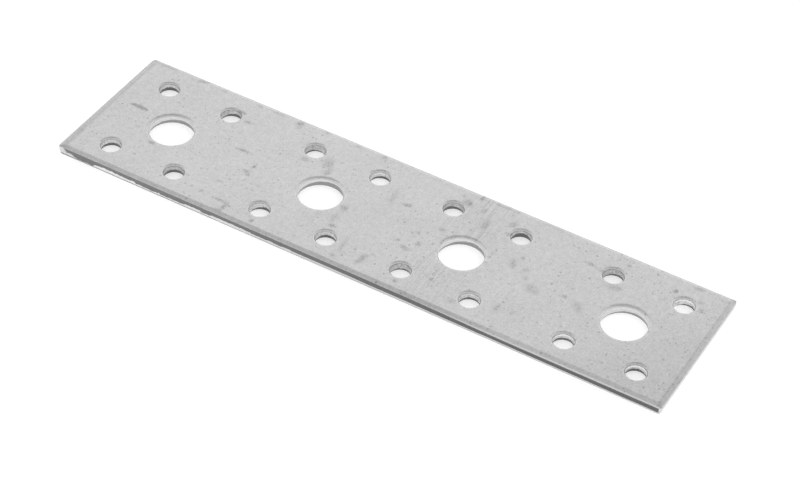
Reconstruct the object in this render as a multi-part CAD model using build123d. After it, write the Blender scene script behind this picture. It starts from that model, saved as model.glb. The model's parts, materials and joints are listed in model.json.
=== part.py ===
from build123d import *
from math import asin, cos, sin
import os

# Mending plate: one flat galvanised steel strip, sheared to length and punched with
# one round hole in the middle of each of four groups of four nail holes.
# Millimetres. +X runs along the plate, +Z is up out of the worked face, and the
# origin is the middle of the underside, so the plate lies on Z = 0.

# --- blank ---------------------------------------------------------------------
length = 160.0
width = 40.0
thickness = 2.5
corner_radius = 1.0
# The left end was sheared out of square: its back corner stops this much short.
left_end_skew = 0.5

# --- hole pattern --------------------------------------------------------------
bolt_hole_d = 11.0
nail_hole_d = 5.0
group_pitches = (42.0, 38.0, 42.0)      # between neighbouring bolt holes, left to right
nail_pitch_x = 18.0                     # across one group, along the plate
nail_pitch_y = 25.0                     # between the front and the back row
# The punched pattern sits this far from the middle of the sheared blank.
pattern_offset_x = 0.5
pattern_offset_y = -0.7

# --- sheared edge of the blank, top to bottom ----------------------------------
edge_roll_width = 1.1                   # face pulled down towards the edge
edge_roll_depth = 0.4
edge_land_end = 1.35                    # smooth land ends this far below the top face
side_break = 0.05                       # torn zone draws in by this much, long sides
end_break = 0.2                         # the same, at the two ends
corner_slack = 0.5                      # share of an inset by which corners grow rounder

# --- punched edge of the holes, top to bottom ----------------------------------
bolt_roll_width = 0.75
bolt_roll_radius = 1.1
nail_roll_width = 0.55
nail_roll_radius = 2.2                  # these small mouths are nearly straight
hole_roll_depth = 0.35
hole_land_end = 1.6
hole_flare = 0.15                       # torn zone opens by this much on the radius

cut_past = 1.0                          # cutters run this far past both faces
edge_roll_steps = 4                     # sections that carry the rolled edge


def blank_section(level, side_inset, end_inset):
    """Outline of the blank at one height, drawn in from the full size."""
    right = length / 2 - end_inset
    left = -right
    half_width = width / 2 - side_inset
    corners = [
        (left, -half_width),
        (right, -half_width),
        (right, half_width),
        (left + left_end_skew, half_width),
    ]
    rounding = corner_radius + corner_slack * side_inset
    outline = make_face(Polyline(*corners, close=True))
    outline = fillet(outline.vertices(), rounding)
    return Plane.XY.offset(level) * outline


def rolled_edge_sections():
    """Outlines up the rolled edge: an arc that runs out level with the top face."""
    arc_radius = (edge_roll_width**2 + edge_roll_depth**2) / (2 * edge_roll_depth)
    full_turn = asin(edge_roll_width / arc_radius)
    sections = []
    for step in range(edge_roll_steps + 1):
        turn = full_turn * (1 - step / edge_roll_steps)
        inset = edge_roll_width - arc_radius * sin(turn)
        drop = arc_radius * (1 - cos(turn))
        sections.append(blank_section(thickness - drop, inset, inset))
    return sections


def sheared_blank():
    land_top = thickness - edge_roll_depth
    land_bottom = thickness - edge_land_end
    torn = loft(
        [blank_section(0, side_break, end_break), blank_section(land_bottom, 0, 0)],
        ruled=True,
    )
    land = extrude(blank_section(land_bottom, 0, 0), amount=land_top - land_bottom)
    rolled = loft(rolled_edge_sections())
    return torn + land + rolled


def punch(hole_d, roll_width, roll_radius):
    """What one punch takes away: rolled mouth, straight land, flared tear."""
    r = hole_d / 2
    mouth = (r + roll_width, thickness)
    land_top = (r, thickness - hole_roll_depth)
    land_bottom = (r, thickness - hole_land_end)
    tear_end = (r + hole_flare, 0)
    profile = (
        Line((0, thickness + cut_past), (mouth[0], thickness + cut_past))
        + Line((mouth[0], thickness + cut_past), mouth)
        + RadiusArc(mouth, land_top, -roll_radius)
        + Polyline(land_top, land_bottom, tear_end, (tear_end[0], -cut_past), (0, -cut_past))
        + Line((0, -cut_past), (0, thickness + cut_past))
    )
    return revolve(Plane.XZ * make_face(profile), Axis.Z)


def bolt_hole_centres():
    x = pattern_offset_x - sum(group_pitches) / 2
    centres = [x]
    for pitch in group_pitches:
        x += pitch
        centres.append(x)
    return centres


plate = sheared_blank()
bolt_punch = punch(bolt_hole_d, bolt_roll_width, bolt_roll_radius)
nail_punch = punch(nail_hole_d, nail_roll_width, nail_roll_radius)
for x in bolt_hole_centres():
    plate -= Pos(x, pattern_offset_y, 0) * bolt_punch
    for side_x in (-1, 1):
        for side_y in (-1, 1):
            nail_x = x + side_x * nail_pitch_x / 2
            nail_y = pattern_offset_y + side_y * nail_pitch_y / 2
            plate -= Pos(nail_x, nail_y, 0) * nail_punch

os.makedirs("parts", exist_ok=True)
export_step(plate, "parts/plate.step")
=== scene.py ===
import json
import math

import bpy
from mathutils import Matrix, Vector, noise
from mathutils.geometry import delaunay_2d_cdt


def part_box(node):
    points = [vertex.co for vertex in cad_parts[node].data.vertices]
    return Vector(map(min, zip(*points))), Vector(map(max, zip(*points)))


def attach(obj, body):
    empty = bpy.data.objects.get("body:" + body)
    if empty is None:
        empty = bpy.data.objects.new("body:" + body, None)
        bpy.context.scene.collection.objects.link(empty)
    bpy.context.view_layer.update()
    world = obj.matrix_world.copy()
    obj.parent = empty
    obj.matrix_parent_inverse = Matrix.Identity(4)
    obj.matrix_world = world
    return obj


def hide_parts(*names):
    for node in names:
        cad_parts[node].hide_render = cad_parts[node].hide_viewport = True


# A galvanised mending plate, lying on a pale studio floor. What builds the sheet and
# its steel works in millimetres; the mesh, the floor and the camera are in metres.

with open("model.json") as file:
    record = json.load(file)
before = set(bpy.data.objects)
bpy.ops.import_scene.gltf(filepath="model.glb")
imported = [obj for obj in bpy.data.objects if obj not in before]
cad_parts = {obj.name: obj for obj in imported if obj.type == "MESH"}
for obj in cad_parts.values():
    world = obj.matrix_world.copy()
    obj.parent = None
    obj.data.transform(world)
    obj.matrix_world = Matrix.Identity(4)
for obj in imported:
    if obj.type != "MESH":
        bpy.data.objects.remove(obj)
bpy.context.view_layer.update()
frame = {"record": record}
MM = 0.001

# --- sizes of the sheet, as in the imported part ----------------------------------
plate_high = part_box("plate")[1]
LENGTH = 2 * plate_high[0] / MM
WIDTH = 2 * plate_high[1] / MM
THICK = plate_high[2] / MM
LEFT_SKEW = 0.5                         # the left end's back corner stops this much short

EDGE_ROLL_W = 1.1                       # sheared edge: face pulled down towards the edge
EDGE_ROLL_D = 0.4
EDGE_LAND_END = 1.35                    # smooth land ends this far below the top face
SIDE_BREAK = 0.05                       # torn zone draws in by this much, long sides
END_BREAK = 0.2                         # the same, at the two ends
HOLE_ROLL_D = 0.35                      # punched edge: depth of the rolled mouth
HOLE_LAND_END = 1.6
HOLE_FLARE = 0.15                       # torn zone opens by this much on the radius

# Sharper than in the part, where the photograph shows it: corners front left, front
# right, back right and back left.
CORNER_R = (0.4, 0.5, 0.6, 1.0)
CORNER_SLACK = 0.5                      # share of an inset by which corners grow rounder

# What a vertex belongs to, which the steel reads as its "kind".
OUTER, BOLT, NAIL = 0.0, 1.0, 2.0
HOLE_ROLL_W = {BOLT: 0.75, NAIL: 0.55}

# --- how finely the mesh is cut --------------------------------------------------
CORNER_STEPS = 8
SIDE_STEPS = (320, 80, 320, 80)         # front, right, back, left
HOLE_SEGMENTS = {BOLT: 128, NAIL: 72}
HOLE_ROLL_STEPS = 6
TORN_STEPS = 5                          # rings over the height of the torn zone
GRID = 0.45                             # points over the top face, to carry its marks
GRID_CLEAR = 0.2                        # they keep this far from the rolled edges
CDT_EPSILON = 1e-7                      # points closer than this become one
RIM_SLACK = 1e-5


def holes_from_record():
    """(x, y, radius, kind) of every punched hole, in millimetres."""
    found = []
    for mount in frame["record"]["mounts"]:
        x, y = mount["pos_m"][0] / MM, mount["pos_m"][1] / MM
        dims = mount.get("dims", {})
        if mount["kind"] == "bore":
            found.append((x, y, dims["r_mm"], BOLT))
        elif mount["kind"] == "bolt_pattern":
            for side_x in (-0.5, 0.5):
                for side_y in (-0.5, 0.5):
                    hole_x = x + side_x * dims["spacing_x_mm"]
                    hole_y = y + side_y * dims["spacing_y_mm"]
                    found.append((hole_x, hole_y, dims["hole_r_mm"], NAIL))
    return found


HOLES = holes_from_record()


# --- outlines and profiles -------------------------------------------------------
def corner_frame(corners, i):
    """Unit directions out of corner i to the one before and after, and half its angle."""
    corner = corners[i % 4]
    before = (corners[(i - 1) % 4] - corner).normalized()
    after = (corners[(i + 1) % 4] - corner).normalized()
    return corner, before, after, before.angle(after) / 2


def outline(inset_side, inset_end):
    """The sheared outline, counter-clockwise, with the same points at every inset."""
    right = LENGTH / 2 - inset_end
    left = -right
    half = WIDTH / 2 - inset_side
    corners = [
        Vector((left, -half)),
        Vector((right, -half)),
        Vector((right, half)),
        Vector((left + LEFT_SKEW, half)),
    ]
    radii = [r + CORNER_SLACK * inset_side for r in CORNER_R]
    points = []
    for i, r in enumerate(radii):
        corner, before, after, half_angle = corner_frame(corners, i)
        centre = corner + (before + after).normalized() * (r / math.sin(half_angle))
        start = corner + before * (r / math.tan(half_angle)) - centre
        sweep = math.pi - 2 * half_angle
        for k in range(CORNER_STEPS + 1):
            turn = Matrix.Rotation(sweep * k / CORNER_STEPS, 2)
            points.append(centre + turn @ start)
        next_corner, back, _, next_half = corner_frame(corners, i + 1)
        first = points[-1].copy()
        last = next_corner + back * (radii[(i + 1) % 4] / math.tan(next_half))
        points.extend(first.lerp(last, k / SIDE_STEPS[i]) for k in range(1, SIDE_STEPS[i]))
    return points


def circle(x, y, r, segments):
    turns = [math.tau * k / segments for k in range(segments)]
    return [Vector((x + r * math.cos(turn), y + r * math.sin(turn))) for turn in turns]


def bevel_profile(width, depth):
    """(inset, drop) pairs of the outer edge: nearly straight, round only at its foot."""
    shares = (
        (0.0, 1.0), (0.02, 0.93), (0.10, 0.83), (0.32, 0.58),
        (0.58, 0.30), (0.78, 0.10), (0.87, 0.025), (1.0, 0.0),
    )
    return [(inset * width, drop * depth) for inset, drop in shares]


def roll_profile(width, depth, steps):
    """(inset, drop) pairs from the edge up to the flat: an arc that ends tangent to it."""
    radius = (width ** 2 + depth ** 2) / (2 * depth)
    full = math.asin(width / radius)
    turns = [full * (1 - k / steps) for k in range(steps + 1)]
    return [(width - radius * math.sin(turn), radius * (1 - math.cos(turn))) for turn in turns]


def torn_levels(land_bottom):
    """(share, height) pairs up the torn zone; the share goes from 1 at its foot towards 0."""
    return [(1 - k / TORN_STEPS, land_bottom * k / TORN_STEPS) for k in range(TORN_STEPS)]


# --- marks on the top face -------------------------------------------------------
SOLID = 1.0                             # darkness of a mark that is even all over
MARK_REACH = 4.0                        # no mark is felt further off than this
SOLID_EDGE = 1.25                       # where a solid mark ends, in half sizes
SOLID_STEEPNESS = 2.2
FAINT_EDGE = 1.9                        # the same for the others, which fade out
FAINT_PEAK = 0.85
FAINT_POWER = 0.6                       # lifts the faintest marks nearer to the rest
MARK_RIM = (0.35, 6.6, 0.9)             # its unevenness, noise seed and size of a bump

# x, y, length, width (mm), angle (degrees), darkness
MARKS = (
    (-71.6, 2.2, 4.3, 1.2, 0, SOLID), (-42.0, 2.3, 2.8, 0.8, 6, 0.75), (-46.4, 11.8, 2.2, 0.7, 8, 0.75),
    (-49.9, 14.1, 1.8, 0.9, -5, 0.75), (-74.8, 18.9, 5.0, 0.7, 0, 0.5), (-64.4, 18.8, 2.0, 0.9, 10, 0.6),
    (-57.8, 18.6, 1.2, 0.8, 0, 0.6), (-42.4, 18.6, 3.4, 0.6, 0, 0.6), (-47.5, 18.6, 1.4, 0.6, 0, 0.5),
    (-35.6, 18.3, 1.8, 1.4, 70, 0.65), (-35.3, 16.6, 1.0, 0.9, 0, 0.45), (-36.6, -1.3, 1.3, 0.7, 60, 0.7),
    (-37.3, -3.6, 1.8, 0.9, -10, 0.65), (-36.5, -4.6, 1.0, 0.8, 40, 0.65), (-41.0, -10.2, 1.2, 0.6, 20, 0.55),
    (-42.4, -15.4, 1.2, 0.7, 60, 0.5), (-31.8, -6.6, 1.4, 0.7, 0, 0.5), (-27.0, -17.6, 0.9, 0.9, 0, 0.95),
    (-36.9, -15.7, 3.0, 0.7, 2, 0.65), (-34.9, -17.0, 0.9, 3.2, 0, 0.6), (-35.6, -18.8, 1.6, 0.8, 20, 0.5),
    (-22.4, 9.4, 2.2, 3.4, 20, 0.45), (-21.0, 6.5, 1.4, 2.4, -20, 0.45), (-28.0, 7.6, 1.6, 1.4, 0, 0.35),
    (-11.0, -2.4, 1.6, 1.8, 30, 0.6), (-11.4, -6.3, 1.2, 2.6, 0, 0.4), (-10.2, -9.0, 1.4, 1.1, 0, 0.7),
    (-4.8, -13.6, 0.8, 4.4, 8, 0.35), (-5.2, -17.5, 1.0, 1.0, 0, 0.6), (-16.0, -16.6, 1.0, 0.7, 0, 0.4),
    (-61.8, -7.3, 1.8, 0.8, -10, 0.55), (-68.0, -4.0, 1.2, 0.8, 0, 0.3), (-19.4, 18.6, 1.6, 0.8, 0, 0.5),
    (-12.4, 18.7, 1.4, 0.8, 0, 0.55), (-28.4, 19.0, 1.6, 0.5, 0, 0.5), (-3.4, 7.6, 1.4, 5.0, 10, 0.28),
    (0.9, 6.8, 1.9, 1.1, 15, 0.75), (1.2, -14.8, 1.2, 3.2, -10, 0.55), (12.4, 15.4, 2.0, 1.6, -20, 0.6),
    (10.6, 17.0, 1.0, 0.8, 0, 0.5), (14.6, 18.9, 0.7, 1.8, 0, 0.75), (17.0, 14.8, 1.0, 1.4, 0, 0.4),
    (19.7, 10.9, 1.2, 3.0, 0, 0.5), (25.1, 14.5, 1.5, 1.9, -10, 0.6), (25.4, 10.8, 1.3, 1.2, 0, 0.45),
    (7.4, -6.2, 2.2, 1.0, -15, 0.7), (9.6, -3.4, 1.6, 1.2, 0, 0.5), (5.1, -4.8, 0.9, 0.8, 0, 0.55),
    (6.5, -0.9, 0.8, 0.7, 0, 0.6), (7.8, 0.0, 0.9, 0.8, 0, 0.7), (11.8, 3.9, 1.6, 1.2, 0, 0.5),
    (31.2, 2.6, 1.4, 2.4, 15, 0.5), (32.3, 5.4, 1.0, 0.9, 0, 0.5), (34.6, 2.2, 1.2, 1.2, 0, 0.4),
    (38.9, -2.6, 3.0, 2.4, -30, 0.4), (36.0, -0.2, 1.4, 1.0, 0, 0.35), (46.2, -0.6, 1.1, 1.0, 0, 0.5),
    (50.2, -2.0, 2.0, 2.6, 40, 0.35), (54.5, 8.3, 3.0, 1.8, 10, 0.4), (46.6, 12.3, 1.6, 1.0, 0, 0.5),
    (49.4, 11.8, 2.2, 0.8, 0, 0.5), (66.8, 15.0, 1.0, 1.4, 15, SOLID), (54.2, 16.7, 1.0, 0.8, 0, 0.5),
    (73.4, 14.4, 1.3, 1.0, 0, 0.55), (71.2, 18.4, 2.4, 1.0, 0, 0.45), (74.6, 12.2, 1.2, 1.0, 0, 0.45),
    (35.0, -12.2, 1.6, 2.0, 0, 0.4), (38.8, -11.6, 1.0, 0.8, 0, 0.4), (17.9, -12.2, 0.8, 0.7, 0, 0.8),
    (25.3, -15.8, 1.8, 1.2, 0, 0.35), (11.2, -17.2, 0.8, 0.7, 0, 0.7), (2.7, -12.3, 0.7, 0.6, 0, 0.6),
    (60.2, -15.6, 0.7, 0.6, 0, 0.5), (20.8, 18.8, 6.0, 0.7, 0, 0.4), (34.0, 18.9, 5.0, 0.5, 0, 0.3),
)


def wander(x, y, seed, size):
    """Smooth noise from -1 to 1 whose bumps are about this size in millimetres."""
    return noise.noise(Vector((x / size, y / size, seed)))


def uneven(x, y, *waves):
    """Waves added up, each given by its height, its noise seed and the size of a bump."""
    return sum(height * wander(x, y, seed, size) for height, seed, size in waves)


def mark_cover(mark, x, y):
    """How much of a mark lies at a point: ovals with an uneven rim."""
    mark_x, mark_y, length, width, angle, dark = mark
    dx, dy = x - mark_x, y - mark_y
    if abs(dx) > MARK_REACH or abs(dy) > MARK_REACH:
        return 0.0
    c, s = math.cos(math.radians(angle)), math.sin(math.radians(angle))
    u = (dx * c + dy * s) / (length / 2)
    v = (-dx * s + dy * c) / (width / 2)
    away = math.sqrt(u * u + v * v) * (1 + uneven(x, y, MARK_RIM))
    if dark == SOLID:
        return min(1.0, max(0.0, SOLID_STEEPNESS * (SOLID_EDGE - away)))
    return FAINT_PEAK * dark ** FAINT_POWER * max(0.0, 1.0 - (away / FAINT_EDGE) ** 2)


def stains(verts):
    """Darkness of the marks at each vertex; the steel breaks it up further."""
    values = []
    for x, y, z in verts:
        on_top = z > THICK - EDGE_ROLL_D
        values.append(max(mark_cover(mark, x, y) for mark in MARKS) if on_top else 0.0)
    return values


# --- torn zones ------------------------------------------------------------------
LAND_FOOT = 0.86                        # height of the foot of the outer edge's dark land
LAND_FOOT_FALL = 0.85                   # how fast it falls, right of the middle
LAND_FOOT_DIP = 0.28                    # how much lower it is at the left end
DIP_STEEPNESS = 3.2                     # the dip has run out at 1 / this of the length
LAND_FOOT_WAVE = (0.13, 3.1, 7.0)       # height, noise seed and size of a bump

# Left of the middle the foot is torn: it steps up and down, with two finer waves on it.
STEP_SEED, STEP_SIZE, STEP_LIMIT = 8.4, 4.5, 0.10
STEP_UP, STEP_DOWN = 0.45, -0.135
RAGGED_WAVES = ((0.30, 5.7, 1.1), (0.25, 2.2, 0.45))

HOLE_TEAR_WAVES = ((0.14, 11.3, 2.0), (0.12, 4.9, 0.6))


def edge_tear(points):
    """Height at which the dark land gives way to the bright zone, round the outline."""
    heights = []
    for x, y in points:
        along = (x + LENGTH / 2) / LENGTH
        fall = LAND_FOOT_FALL * max(0.0, along - 0.5)
        dip = LAND_FOOT_DIP * max(0.0, 1.0 - along * DIP_STEEPNESS)
        step = STEP_UP if wander(x, y, STEP_SEED, STEP_SIZE) > STEP_LIMIT else STEP_DOWN
        ragged = max(0.0, 1.0 - along * 2.0) * (step + uneven(x, y, *RAGGED_WAVES))
        heights.append(LAND_FOOT - fall - dip + uneven(x, y, LAND_FOOT_WAVE) + ragged)
    return heights


def hole_tear(x, y, points, mean, swing, towards):
    """Height of the dark torn zone at the foot of a punched hole, painted as shade; it is highest on one
    side.
    """
    heights = []
    for p in points:
        turn = math.atan2(p.y - y, p.x - x) - math.radians(towards)
        height = mean + swing * math.cos(turn) + uneven(p.x, p.y, *HOLE_TEAR_WAVES)
        heights.append(max(0.0, height))
    return heights


# The torn zone of each hole, painted dark as shade, in the record's order: mean height, swing (mm),
# the side where it is highest (degrees), then how bright the drawn wall above it is, its own zinc with
# painted light and shade, and the strength of its painted highlight.
TEARS = (
    (0.78, 0.45, 60, 0.68, 0.04), (0.95, 0.50, 70, 0.70, 0.04),
    (0.85, 0.55, 50, 0.70, 0.02), (0.50, 0.42, 50, 0.69, 0.04),
    (0.50, 0.50, 105, 0.66, 0.06), (0.35, 0.75, 120, 0.62, 0.05),
    (0.65, 0.40, 120, 0.52, 0.02), (0.45, 0.50, 90, 0.56, 0.0),
    (0.45, 0.60, 60, 0.62, 0.10), (0.30, 0.35, 170, 0.54, 0.0),
    (0.50, 0.50, 90, 0.64, 0.06), (0.42, 0.50, 80, 0.64, 0.10),
    (0.20, 0.40, 90, 0.52, 0.0), (0.40, 0.60, 140, 0.52, 0.0),
    (0.42, 0.30, 110, 0.62, 0.08), (0.50, 0.80, 115, 0.56, 0.0),
    (0.50, 0.30, 120, 0.60, 0.40), (0.40, 0.35, 60, 0.50, 0.0),
    (0.50, 0.45, 120, 0.62, 0.40), (0.25, 0.45, 40, 0.64, 0.36),
)


# --- mesh of the sheet -----------------------------------------------------------
class SheetMesh:
    """Vertices and faces in millimetres, with what the steel reads at each vertex."""

    def __init__(self):
        self.verts = []
        self.faces = []
        self.smooth = []
        self.read = {name: [] for name in ("wall", "kind", "tear", "bright", "painted_highlight")}

    def add_vertex(self, x, y, z, **values):
        self.verts.append((x, y, z))
        for name, column in self.read.items():
            column.append(values.get(name, 0.0))
        return len(self.verts) - 1

    def add_ring(self, points, z, tear, **values):
        return [self.add_vertex(p.x, p.y, z, tear=t, **values) for p, t in zip(points, tear)]

    def join(self, rings, flip):
        """Quads between neighbouring rings of the same count, facing away from the steel."""
        for lower, upper in zip(rings, rings[1:]):
            n = len(lower)
            for k in range(n):
                quad = (lower[k], lower[(k + 1) % n], upper[(k + 1) % n], upper[k])
                self.faces.append(quad[::-1] if flip else quad)
                self.smooth.append(True)

    def openings(self, hole_rings):
        """(x, y, reach) of each hole: a triangle centred within reach would cover it."""
        found = []
        for (x, y, _, _), ids in zip(HOLES, hole_rings):
            first = self.verts[ids[0]]
            reach = math.hypot(first[0] - x, first[1] - y) * math.cos(math.pi / len(ids))
            found.append((x, y, reach - RIM_SLACK))
        return found

    def cap(self, rings, z, up, grid):
        """Fills the flat between the outline ring, which comes first, and the hole rings."""
        index, coords, edges = [], [], []
        for ids in rings:
            start, count = len(coords), len(ids)
            coords.extend(Vector(self.verts[i][:2]) for i in ids)
            index.extend(ids)
            edges.extend((start + k, start + (k + 1) % count) for k in range(count))
        for p in grid:
            index.append(self.add_vertex(p.x, p.y, z))
            coords.append(p)
        openings = self.openings(rings[1:])
        got = delaunay_2d_cdt(coords, edges, [], 0, CDT_EPSILON)
        flat, triangles, origin = got[0], got[2], got[3]
        for face in triangles:
            centre = sum((flat[i] for i in face), Vector((0, 0))) / 3
            if any(math.hypot(centre.x - x, centre.y - y) < reach for x, y, reach in openings):
                continue
            ids = [index[origin[i][0]] for i in face]
            p, q, r = (flat[i] for i in face)
            if ((q - p).cross(r - p) > 0) != up:
                ids.reverse()
            self.faces.append(tuple(ids))
            self.smooth.append(False)


def on_the_flat(p):
    reach = EDGE_ROLL_W + GRID_CLEAR
    if abs(p.x) > LENGTH / 2 - reach - LEFT_SKEW or abs(p.y) > WIDTH / 2 - reach:
        return False
    return all(
        math.hypot(p.x - x, p.y - y) > r + HOLE_ROLL_W[kind] + GRID_CLEAR
        for x, y, r, kind in HOLES
    )


def face_grid():
    """Staggered points over the flat of the top face."""
    points = []
    for j in range(int(WIDTH / GRID) + 1):
        for i in range(int(LENGTH / GRID) + 1):
            p = Vector((-LENGTH / 2 + (i + 0.5 * (j % 2)) * GRID, -WIDTH / 2 + j * GRID))
            if on_the_flat(p):
                points.append(p)
    return points


def add_outer_edge(m):
    """Land and torn zone, then the rolled edge; returns the bottom and the top ring."""
    land_bottom = THICK - EDGE_LAND_END
    land_middle = THICK - (EDGE_LAND_END + EDGE_ROLL_D) / 2
    land_top = THICK - EDGE_ROLL_D
    levels = [(SIDE_BREAK * s, END_BREAK * s, z) for s, z in torn_levels(land_bottom)]
    levels += [(0, 0, z) for z in (land_bottom, land_middle, land_top)]
    tear = edge_tear(outline(0, 0))
    cut = [m.add_ring(outline(side, end), z, tear, wall=1.0, kind=OUTER) for side, end, z in levels]
    m.join(cut, False)
    bottom = m.add_ring(outline(SIDE_BREAK, END_BREAK), 0.0, tear, kind=OUTER)
    # The rolled edge starts on its own ring, so the crease above the land stays crisp.
    profile = bevel_profile(EDGE_ROLL_W, EDGE_ROLL_D)
    rolled = [m.add_ring(outline(i, i), THICK - drop, tear, kind=OUTER) for i, drop in profile]
    m.join(rolled, False)
    return bottom, rolled[-1]


def add_hole(m, x, y, r, kind, mean, swing, towards, bright, painted_highlight):
    """Wall and rolled mouth of one hole; returns its bottom and its top ring."""
    segments = HOLE_SEGMENTS[kind]
    land_bottom = THICK - HOLE_LAND_END
    land_middle = THICK - (HOLE_LAND_END + HOLE_ROLL_D) / 2
    land_top = THICK - HOLE_ROLL_D
    levels = [(r + HOLE_FLARE * s, z) for s, z in torn_levels(land_bottom)]
    levels += [(r, z) for z in (land_bottom, land_middle, land_top)]
    tear = hole_tear(x, y, circle(x, y, r, segments), mean, swing, towards)
    reads = {"wall": 1.0, "kind": kind, "bright": bright, "painted_highlight": painted_highlight}
    m.join([m.add_ring(circle(x, y, a, segments), z, tear, **reads) for a, z in levels], True)
    bottom = m.add_ring(circle(x, y, r + HOLE_FLARE, segments), 0.0, tear, kind=OUTER)
    profile = roll_profile(HOLE_ROLL_W[kind], HOLE_ROLL_D, HOLE_ROLL_STEPS)
    mouth = [m.add_ring(circle(x, y, r + i, segments), THICK - drop, tear, kind=kind) for i, drop in profile]
    m.join(mouth, True)
    return bottom, mouth[-1]


def build_sheet():
    m = SheetMesh()
    rims = [add_outer_edge(m)]
    rims += [add_hole(m, *hole, *torn) for hole, torn in zip(HOLES, TEARS)]
    m.cap([top for _, top in rims], THICK, True, face_grid())
    m.cap([bottom for bottom, _ in rims], 0.0, False, [])
    mesh = bpy.data.meshes.new("plate_sheet")
    mesh.from_pydata([(x * MM, y * MM, z * MM) for x, y, z in m.verts], [], m.faces)
    mesh.polygons.foreach_set("use_smooth", m.smooth)
    for name, values in {**m.read, "stain": stains(m.verts)}.items():
        mesh.attributes.new(name, "FLOAT", "POINT").data.foreach_set("value", values)
    mesh.update()
    piece = bpy.data.objects.new("plate_sheet", mesh)
    bpy.context.collection.objects.link(piece)
    return piece


sheet = build_sheet()
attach(sheet, "root")
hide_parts("plate")


# --- steel: helpers ----------------------------------------------------------------
mat = bpy.data.materials.new("galvanised_steel")
mat.use_nodes = True
tree = mat.node_tree
bsdf = tree.nodes["Principled BSDF"]


def feed(socket, value):
    if isinstance(value, bpy.types.NodeSocket):
        tree.links.new(value, socket)
    else:
        socket.default_value = value


def calc(op, a, b=0.0, c=0.0):
    node = tree.nodes.new("ShaderNodeMath")
    node.operation = op
    for socket, value in zip(node.inputs, (a, b, c)):
        feed(socket, value)
    return node.outputs[0]


def times(a, b):
    return calc("MULTIPLY", a, b)


def plus(a, b):
    return calc("ADD", a, b)


def layered(base, *layers):
    """The base, and on it each layer's value times its share."""
    for value, share in layers:
        base = calc("MULTIPLY_ADD", value, share, base)
    return base


def ramp(value, low, high, out_low=0.0, out_high=1.0):
    """Smooth step from out_low at low to out_high at high, flat outside."""
    node = tree.nodes.new("ShaderNodeMapRange")
    node.interpolation_type = "SMOOTHSTEP"
    sockets = ("Value", "From Min", "From Max", "To Min", "To Max")
    for name, v in zip(sockets, (value, low, high, out_low, out_high)):
        feed(node.inputs[name], v)
    return node.outputs["Result"]


def blend(factor, a, b):
    node = tree.nodes.new("ShaderNodeMix")
    node.data_type = "FLOAT"
    for slot, value in ((0, factor), (2, a), (3, b)):
        feed(node.inputs[slot], value)
    return node.outputs[0]


def attribute(name):
    node = tree.nodes.new("ShaderNodeAttribute")
    node.attribute_name = name
    return node.outputs["Fac"]


def stretch(vector, factors):
    node = tree.nodes.new("ShaderNodeVectorMath")
    node.operation = "MULTIPLY"
    tree.links.new(vector, node.inputs[0])
    node.inputs[1].default_value = factors
    return node.outputs[0]


def grain(vector, scale, detail=2.0, rough=0.5):
    """Noise round zero, from about -1 to 1."""
    node = tree.nodes.new("ShaderNodeTexNoise")
    feed(node.inputs["Vector"], vector)
    node.inputs["Scale"].default_value = scale
    node.inputs["Detail"].default_value = detail
    node.inputs["Roughness"].default_value = rough
    return calc("MULTIPLY_ADD", node.outputs["Fac"], 2.6, -1.3)


# --- steel: what every zone reads --------------------------------------------------
MM_PER_M = 1 / MM
P = stretch(tree.nodes.new("ShaderNodeTexCoord").outputs["Object"], (MM_PER_M,) * 3)
split = tree.nodes.new("ShaderNodeSeparateXYZ")
tree.links.new(P, split.inputs[0])
X, Y, Z = split.outputs

wall = ramp(attribute("wall"), 0.4, 0.6)
kind_read = attribute("kind")
in_hole = ramp(kind_read, 0.4, 0.6)
nail = ramp(kind_read, 1.4, 1.6)
tear = attribute("tear")
bright = attribute("bright")
stain = attribute("stain")
upper_half = ramp(Z, 0.4 * THICK, 0.6 * THICK)

fine = grain(P, 3.0, 2.0, 0.7)
medium = grain(P, 0.75, 3.0, 0.55)
clouds = grain(P, 0.09, 2.0)
scored = grain(stretch(P, (3.0, 3.0, 0.35)), 1.0, 2.0, 0.6)
# The height with a rough error, so that borders along the cut walls are ragged.
rough_height = layered(Z, (grain(P, 1.6, 3.0, 0.7), ramp(X, -30.0, 0.0, 0.10, 0.05)))


# --- steel: the faces --------------------------------------------------------------
# A tone is the share of the light that the steel gives back.
FACE_TONE = 0.735
# Painted shade on the rolled mouths of the holes, deeper on nail holes.
MOUTH_SHADE, NAIL_MOUTH_SHADE = -0.05, -0.09
MOUTH_SHADE_DEPTH = (0.03, 0.14)              # painted shade darkens the rolled mouth of a hole between these depths
DOT_SIZE_LEAST = 0.6                    # dots are from this to 1 more, times the layer's size
DOT_CORE = 0.35                         # share of a dot that is dark right through
PIT_SHARE = 1.1                         # how strongly pits break up a mark
# Painted highlight: how much lighter the front right of the top face's rolled edge is made.
FRONT_RIGHT_HIGHLIGHT = 0.11


def speck_layer(scale, gathered, low, high, size):
    """Small dark dots, one to a cell at most, more of them where gathered is higher."""
    cells = tree.nodes.new("ShaderNodeTexVoronoi")
    cells.voronoi_dimensions = "2D"
    tree.links.new(P, cells.inputs["Vector"])
    cells.inputs["Scale"].default_value = scale
    pick = tree.nodes.new("ShaderNodeSeparateColor")
    tree.links.new(cells.outputs["Color"], pick.inputs[0])
    chance, large, dark = pick.outputs
    chosen = ramp(plus(chance, gathered), low, high)
    dot_size = layered(DOT_SIZE_LEAST * size, (large, size))
    dots = ramp(cells.outputs["Distance"], dot_size, times(dot_size, DOT_CORE))
    return times(times(chosen, dots), layered(0.3, (dark, 0.7)))


def speckle():
    """Specks over the face, thicker in some places, and more of them to the right."""
    gathered = plus(times(grain(P, 0.13, 1.0), 0.30), ramp(X, 20.0, 50.0, -0.04, 0.05))
    large = speck_layer(0.62, gathered, 0.66, 0.90, 0.17)
    small = speck_layer(1.15, gathered, 0.78, 0.98, 0.22)
    return calc("MAXIMUM", large, small)


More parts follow.
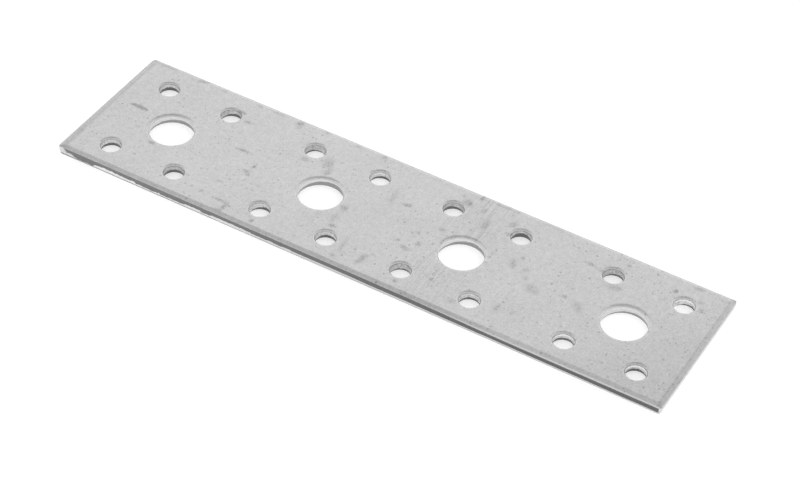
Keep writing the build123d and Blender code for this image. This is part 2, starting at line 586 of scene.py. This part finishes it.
def brushed_lines():
    """Fine lines across the strip, in the one stretch that was brushed."""
    brushed = times(ramp(X, 9.0, 15.0), ramp(X, 29.0, 19.0))
    across = grain(stretch(P, (3.6, 0.12, 1.0)), 1.0, 2.0)
    return times(times(brushed, upper_half), ramp(across, -0.20, 0.70))


def broken_marks():
    """The marks: solid ones stay nearly whole, the others fall apart into pits."""
    pits = grain(P, 3.0, 2.0, 0.8)
    solid = ramp(stain, 0.85, 0.95)
    spots = ramp(layered(stain, (pits, PIT_SHARE)), 0.32, 0.78)
    spots = times(spots, ramp(stain, 0.05, 0.35, 0.0, 1.25))
    return layered(blend(solid, spots, layered(0.80, (pits, 0.30))), (stain, 0.26))


# Painted shade where the top face is darker near its rim, on its rolled edges: axis, from, to (mm), change of
# tone.
PAINTED_RIM_SHADE = (
    (X, -77.6, -78.3, -0.11),
    (X, -45.0, -78.0, -0.025),
    (X, -78.7, -79.2, -0.07),
    (X, 78.5, 78.9, -0.10),
    (Y, 18.8, 19.3, -0.09),
)


def painted_light_and_shade():
    """Painted light and shade over the top face: painted shade towards its front right corner, along its rim
    and on the holes' mouths, and a painted highlight at its front right.
    """
    # painted shade, deepening towards the front right corner
    painted_corner_shade = ramp(plus(X, times(Y, -0.9)), 55.0, 95.0, 0.0, -0.075)
    # painted shade along the rim
    rim = [(ramp(axis, start, end), change) for axis, start, end, change in PAINTED_RIM_SHADE]
    # painted highlight on the front right of the rolled edge
    front_right_highlight = times(ramp(X, 20.0, 50.0), ramp(Y, -18.9, -19.2))
    # painted shade on the holes' rolled mouths
    mouth = times(in_hole, ramp(Z, *(THICK - depth for depth in MOUTH_SHADE_DEPTH)))
    mouth_shade = layered(MOUTH_SHADE, (nail, NAIL_MOUTH_SHADE))
    return layered(painted_corner_shade, *rim, (front_right_highlight, FRONT_RIGHT_HIGHLIGHT), (mouth, mouth_shade))


def face_tone(lines, marks):
    return layered(
        FACE_TONE,
        (fine, 0.14),
        (medium, 0.07),
        (clouds, 0.03),
        (painted_light_and_shade(), upper_half),
        (lines, -0.12),
        (speckle(), -0.25),
        (marks, -0.165),
    )


# --- steel: the sheared outer edge -------------------------------------------------
LAND_TONE_AND_REFLECTION = (0.205, 0.145)              # the land's own dark steel with a painted dark reflection, at the left and at the right, as the next two
LAND_TOP = (2.14, 1.66)
# the bright zone below the land, at the left and at the right: its own tone raised with painted light against
# the floor's shade
FOOT_TONE_AND_LIGHT = (0.78, 0.66)
LEFT_CORNER_TONE = -0.14
ABOVE_LAND_TONE = 0.55                  # the wall between the dark land and the rolled edge
ABOVE_LAND_SOFT = 0.2
SEAM_DROP = 0.38                        # a thin dark line runs this far below the land
SEAM_HALF = (0.13, 0.03)                # from its soft rim to its core
BRINK_TONE = 0.44                       # shade at the very foot, strongest at the left
END_UPPER_TONE, END_LOWER_TONE = 0.40, 0.68
SOFT = 0.05                             # half the width of a soft border, in height


def edge_tone():
    """A dark land, its own steel with a painted dark reflection, with a ragged foot over a brighter zone
    carrying painted light; the two ends are plainer.
    """
    land_top = ramp(X, 10.0, 45.0, *LAND_TOP)
    land = ramp(rough_height, plus(tear, -SOFT), plus(tear, SOFT))
    land = times(land, ramp(plus(X, times(rough_height, 0.8)), -77.4, -76.4))
    land = times(land, ramp(rough_height, plus(land_top, 0.04), plus(land_top, -0.04)))
    # the land: its own dark steel with a painted dark reflection
    land_tone_and_reflection = layered(ramp(X, -60.0, 50.0, *LAND_TONE_AND_REFLECTION), (scored, 0.02))

    foot = layered(ramp(X, -40.0, 10.0, *FOOT_TONE_AND_LIGHT), (medium, 0.04))
    foot = plus(foot, ramp(X, -78.5, -70.0, LEFT_CORNER_TONE, 0.0))
    foot = blend(ramp(Z, plus(land_top, -ABOVE_LAND_SOFT), land_top), foot, ABOVE_LAND_TONE)
    seam_height = layered(calc("SUBTRACT", tear, SEAM_DROP), (clouds, 0.05))
    off_seam = calc("ABSOLUTE", calc("SUBTRACT", Z, seam_height))
    seam = times(ramp(off_seam, *SEAM_HALF), ramp(X, -55.0, -30.0))
    brink = times(ramp(rough_height, 0.42, 0.22), ramp(X, 30.0, -60.0, 0.0, BRINK_TONE))
    foot = calc("SUBTRACT", layered(foot, (seam, -0.20)), brink)

    cut_end = ramp(calc("ABSOLUTE", X), 79.3, 79.6)
    end_tone = blend(ramp(Z, 1.7, 1.95), layered(END_LOWER_TONE, (medium, 0.06)), END_UPPER_TONE)
    return blend(cut_end, blend(land, foot, land_tone_and_reflection), end_tone)


# --- steel: the punched holes --------------------------------------------------------
# Bare torn steel at the foot of the holes, painted dark as shade where it faces down.
BOLT_BARE_AND_SHADE, NAIL_BARE_AND_SHADE = 0.34, 0.17
PAINTED_GLEAM_FOOT = (1.38, 1.48)               # heights where the painted highlight on the wall comes up
PAINTED_GLEAM_TOP = (1.88, 1.80)                # and where it has gone again
RIM_CREASE_SHADE = (1.93, 2.01)                 # heights where painted shade darkens the wall in the crease below its mouth


def hole_tone():
    """Drawn zinc above, with a painted highlight and painted shade in the crease under its mouth; bare torn
    steel below, painted dark as shade; nail holes are the more mottled.
    """
    mottle = grain(P, 1.5, 3.0, 0.65)
    streaks = grain(stretch(P, (2.2, 2.2, 0.9)), 1.0, 3.0, 0.65)
    # painted highlight: a bright band high on the wall, its strength given hole by hole
    painted_gleam = times(ramp(rough_height, *PAINTED_GLEAM_FOOT), ramp(rough_height, *PAINTED_GLEAM_TOP))
    painted_gleam = times(painted_gleam, times(attribute("painted_highlight"), layered(0.95, (streaks, 0.8))))
    # painted shade in the crease where the wall meets its rolled mouth
    crease_shade = times(ramp(rough_height, *RIM_CREASE_SHADE), layered(0.8, (mottle, 0.4)))
    # the drawn wall's tone, set hole by hole and lifted on nail holes: its own zinc with painted light and
    # shade
    drawn = layered(
        bright,
        (scored, 0.03),
        (nail, 0.07),
        (times(mottle, nail), 0.26),
        (times(ramp(streaks, 0.05, 0.50), nail), -0.20),
        (painted_gleam, 1.0),
        (times(crease_shade, layered(0.16, (nail, 0.14))), -1.0),
    )
    bolt_bare_and_shade = layered(BOLT_BARE_AND_SHADE, (scored, 0.04))
    nail_bare_and_shade = layered(NAIL_BARE_AND_SHADE, (scored, 0.03))
    # the torn zone: bare steel painted dark as shade
    torn = ramp(rough_height, plus(tear, 0.07), plus(tear, -SOFT))
    return blend(torn, drawn, blend(nail, bolt_bare_and_shade, nail_bare_and_shade))


# --- steel: the shader ---------------------------------------------------------------
TINT = (0.997, 1.004, 1.0)              # red, green and blue
FACE_ROUGHNESS, WALL_ROUGHNESS = 0.40, 0.45
BUMP_STRENGTH = 0.6
BUMP_DISTANCE = 0.02 * MM


def build_steel():
    lines = brushed_lines()
    marks = broken_marks()

    tone = blend(wall, face_tone(lines, marks), blend(in_hole, edge_tone(), hole_tone()))
    colour = tree.nodes.new("ShaderNodeCombineColor")
    for channel, share in zip(colour.inputs, TINT):
        feed(channel, times(tone, share))
    tree.links.new(colour.outputs[0], bsdf.inputs["Base Color"])
    bsdf.inputs["Metallic"].default_value = 1.0

    face_rough = layered(FACE_ROUGHNESS, (fine, 0.03), (marks, 0.18), (medium, 0.03))
    wall_rough = layered(WALL_ROUGHNESS, (medium, 0.06))
    feed(bsdf.inputs["Roughness"], blend(wall, face_rough, wall_rough))

    face_relief = layered(times(medium, 0.5), (fine, 0.35), (lines, -0.8))
    wall_relief = layered(times(medium, 1.2), (scored, 1.6))
    bump = tree.nodes.new("ShaderNodeBump")
    bump.inputs["Strength"].default_value = BUMP_STRENGTH
    bump.inputs["Distance"].default_value = BUMP_DISTANCE
    tree.links.new(blend(wall, face_relief, wall_relief), bump.inputs["Height"])
    tree.links.new(bump.outputs[0], bsdf.inputs["Normal"])


build_steel()
sheet.data.materials.append(mat)


# --- floor, light, camera ------------------------------------------------------------
FLOOR_HALF = 6.0
FLOOR_Z = -0.00003                      # just under the plate, which rests on z = 0
FLOOR_WHITE = 0.97
FLOOR_LIFT = 0.45                       # glow for camera, glossy and transmission rays only
SKY_DIM = 0.46                          # strength straight overhead; it is 1 all round
SKY_DIM_FROM, SKY_DIM_TO = 0.60, 0.90   # z of the direction where it starts and ends

CAMERA_LENS = 113.112                   # millimetres, on a sensor 36 mm wide
CAMERA_SENSOR = 36
CAMERA_AT = (0.20253, -0.38499, 0.39507)
CAMERA_TURN = (47.2084, -2.8477, 30.008)
CAMERA_CLIP = 0.05


def new_material(name):
    material = bpy.data.materials.new(name)
    material.use_nodes = True
    material.node_tree.nodes.clear()
    return material, material.node_tree.nodes, material.node_tree.links


def make_floor():
    h = FLOOR_HALF
    corners = [(x, y, FLOOR_Z) for x, y in ((-h, -h), (h, -h), (h, h), (-h, h))]
    mesh = bpy.data.meshes.new("floor")
    mesh.from_pydata(corners, [], [(0, 1, 2, 3)])
    floor = bpy.data.objects.new("floor", mesh)
    bpy.context.collection.objects.link(floor)
    floor_mat, nodes, links = new_material("floor")
    paper = nodes.new("ShaderNodeBsdfDiffuse")
    paper.inputs["Color"].default_value = (FLOOR_WHITE, FLOOR_WHITE, FLOOR_WHITE, 1)
    lift = nodes.new("ShaderNodeEmission")
    lift.inputs["Color"].default_value = (FLOOR_LIFT, FLOOR_LIFT, FLOOR_LIFT, 1)
    path = nodes.new("ShaderNodeLightPath")
    seen = path.outputs["Is Camera Ray"]
    for kind_of_ray in ("Is Glossy Ray", "Is Transmission Ray"):
        either = nodes.new("ShaderNodeMath")
        either.operation = "MAXIMUM"
        links.new(seen, either.inputs[0])
        links.new(path.outputs[kind_of_ray], either.inputs[1])
        seen = either.outputs[0]
    links.new(seen, lift.inputs["Strength"])
    both = nodes.new("ShaderNodeAddShader")
    links.new(paper.outputs[0], both.inputs[0])
    links.new(lift.outputs[0], both.inputs[1])
    # From below, the floor is clear, so that the underside of the plate can be seen.
    side = nodes.new("ShaderNodeNewGeometry")
    clear = nodes.new("ShaderNodeBsdfTransparent")
    one_sided = nodes.new("ShaderNodeMixShader")
    links.new(side.outputs["Backfacing"], one_sided.inputs[0])
    links.new(both.outputs[0], one_sided.inputs[1])
    links.new(clear.outputs[0], one_sided.inputs[2])
    out = nodes.new("ShaderNodeOutputMaterial")
    links.new(one_sided.outputs[0], out.inputs["Surface"])
    mesh.materials.append(floor_mat)


def make_sky():
    """A pale studio: bright all round, less bright straight overhead."""
    world = bpy.data.worlds.new("studio")
    bpy.context.scene.world = world
    world.use_nodes = True
    nodes, links = world.node_tree.nodes, world.node_tree.links
    direction = nodes.new("ShaderNodeTexCoord")
    parts = nodes.new("ShaderNodeSeparateXYZ")
    links.new(direction.outputs["Generated"], parts.inputs[0])
    fall = nodes.new("ShaderNodeMapRange")
    fall.interpolation_type = "SMOOTHSTEP"
    fall.inputs["From Min"].default_value = SKY_DIM_FROM
    fall.inputs["From Max"].default_value = SKY_DIM_TO
    fall.inputs["To Min"].default_value = 1.0
    fall.inputs["To Max"].default_value = SKY_DIM
    links.new(parts.outputs["Z"], fall.inputs["Value"])
    links.new(fall.outputs["Result"], nodes["Background"].inputs["Strength"])
    nodes["Background"].inputs["Color"].default_value = (1, 1, 1, 1)


def make_camera():
    """The photograph's viewpoint."""
    cam = bpy.data.cameras.new("camera")
    cam.lens = CAMERA_LENS
    cam.sensor_width = CAMERA_SENSOR
    cam.clip_start = CAMERA_CLIP
    camera = bpy.data.objects.new("camera", cam)
    bpy.context.collection.objects.link(camera)
    camera.location = CAMERA_AT
    camera.rotation_euler = [math.radians(a) for a in CAMERA_TURN]
    bpy.context.scene.camera = camera


make_floor()
make_sky()
make_camera()
bpy.context.scene.view_settings.view_transform = "Standard"
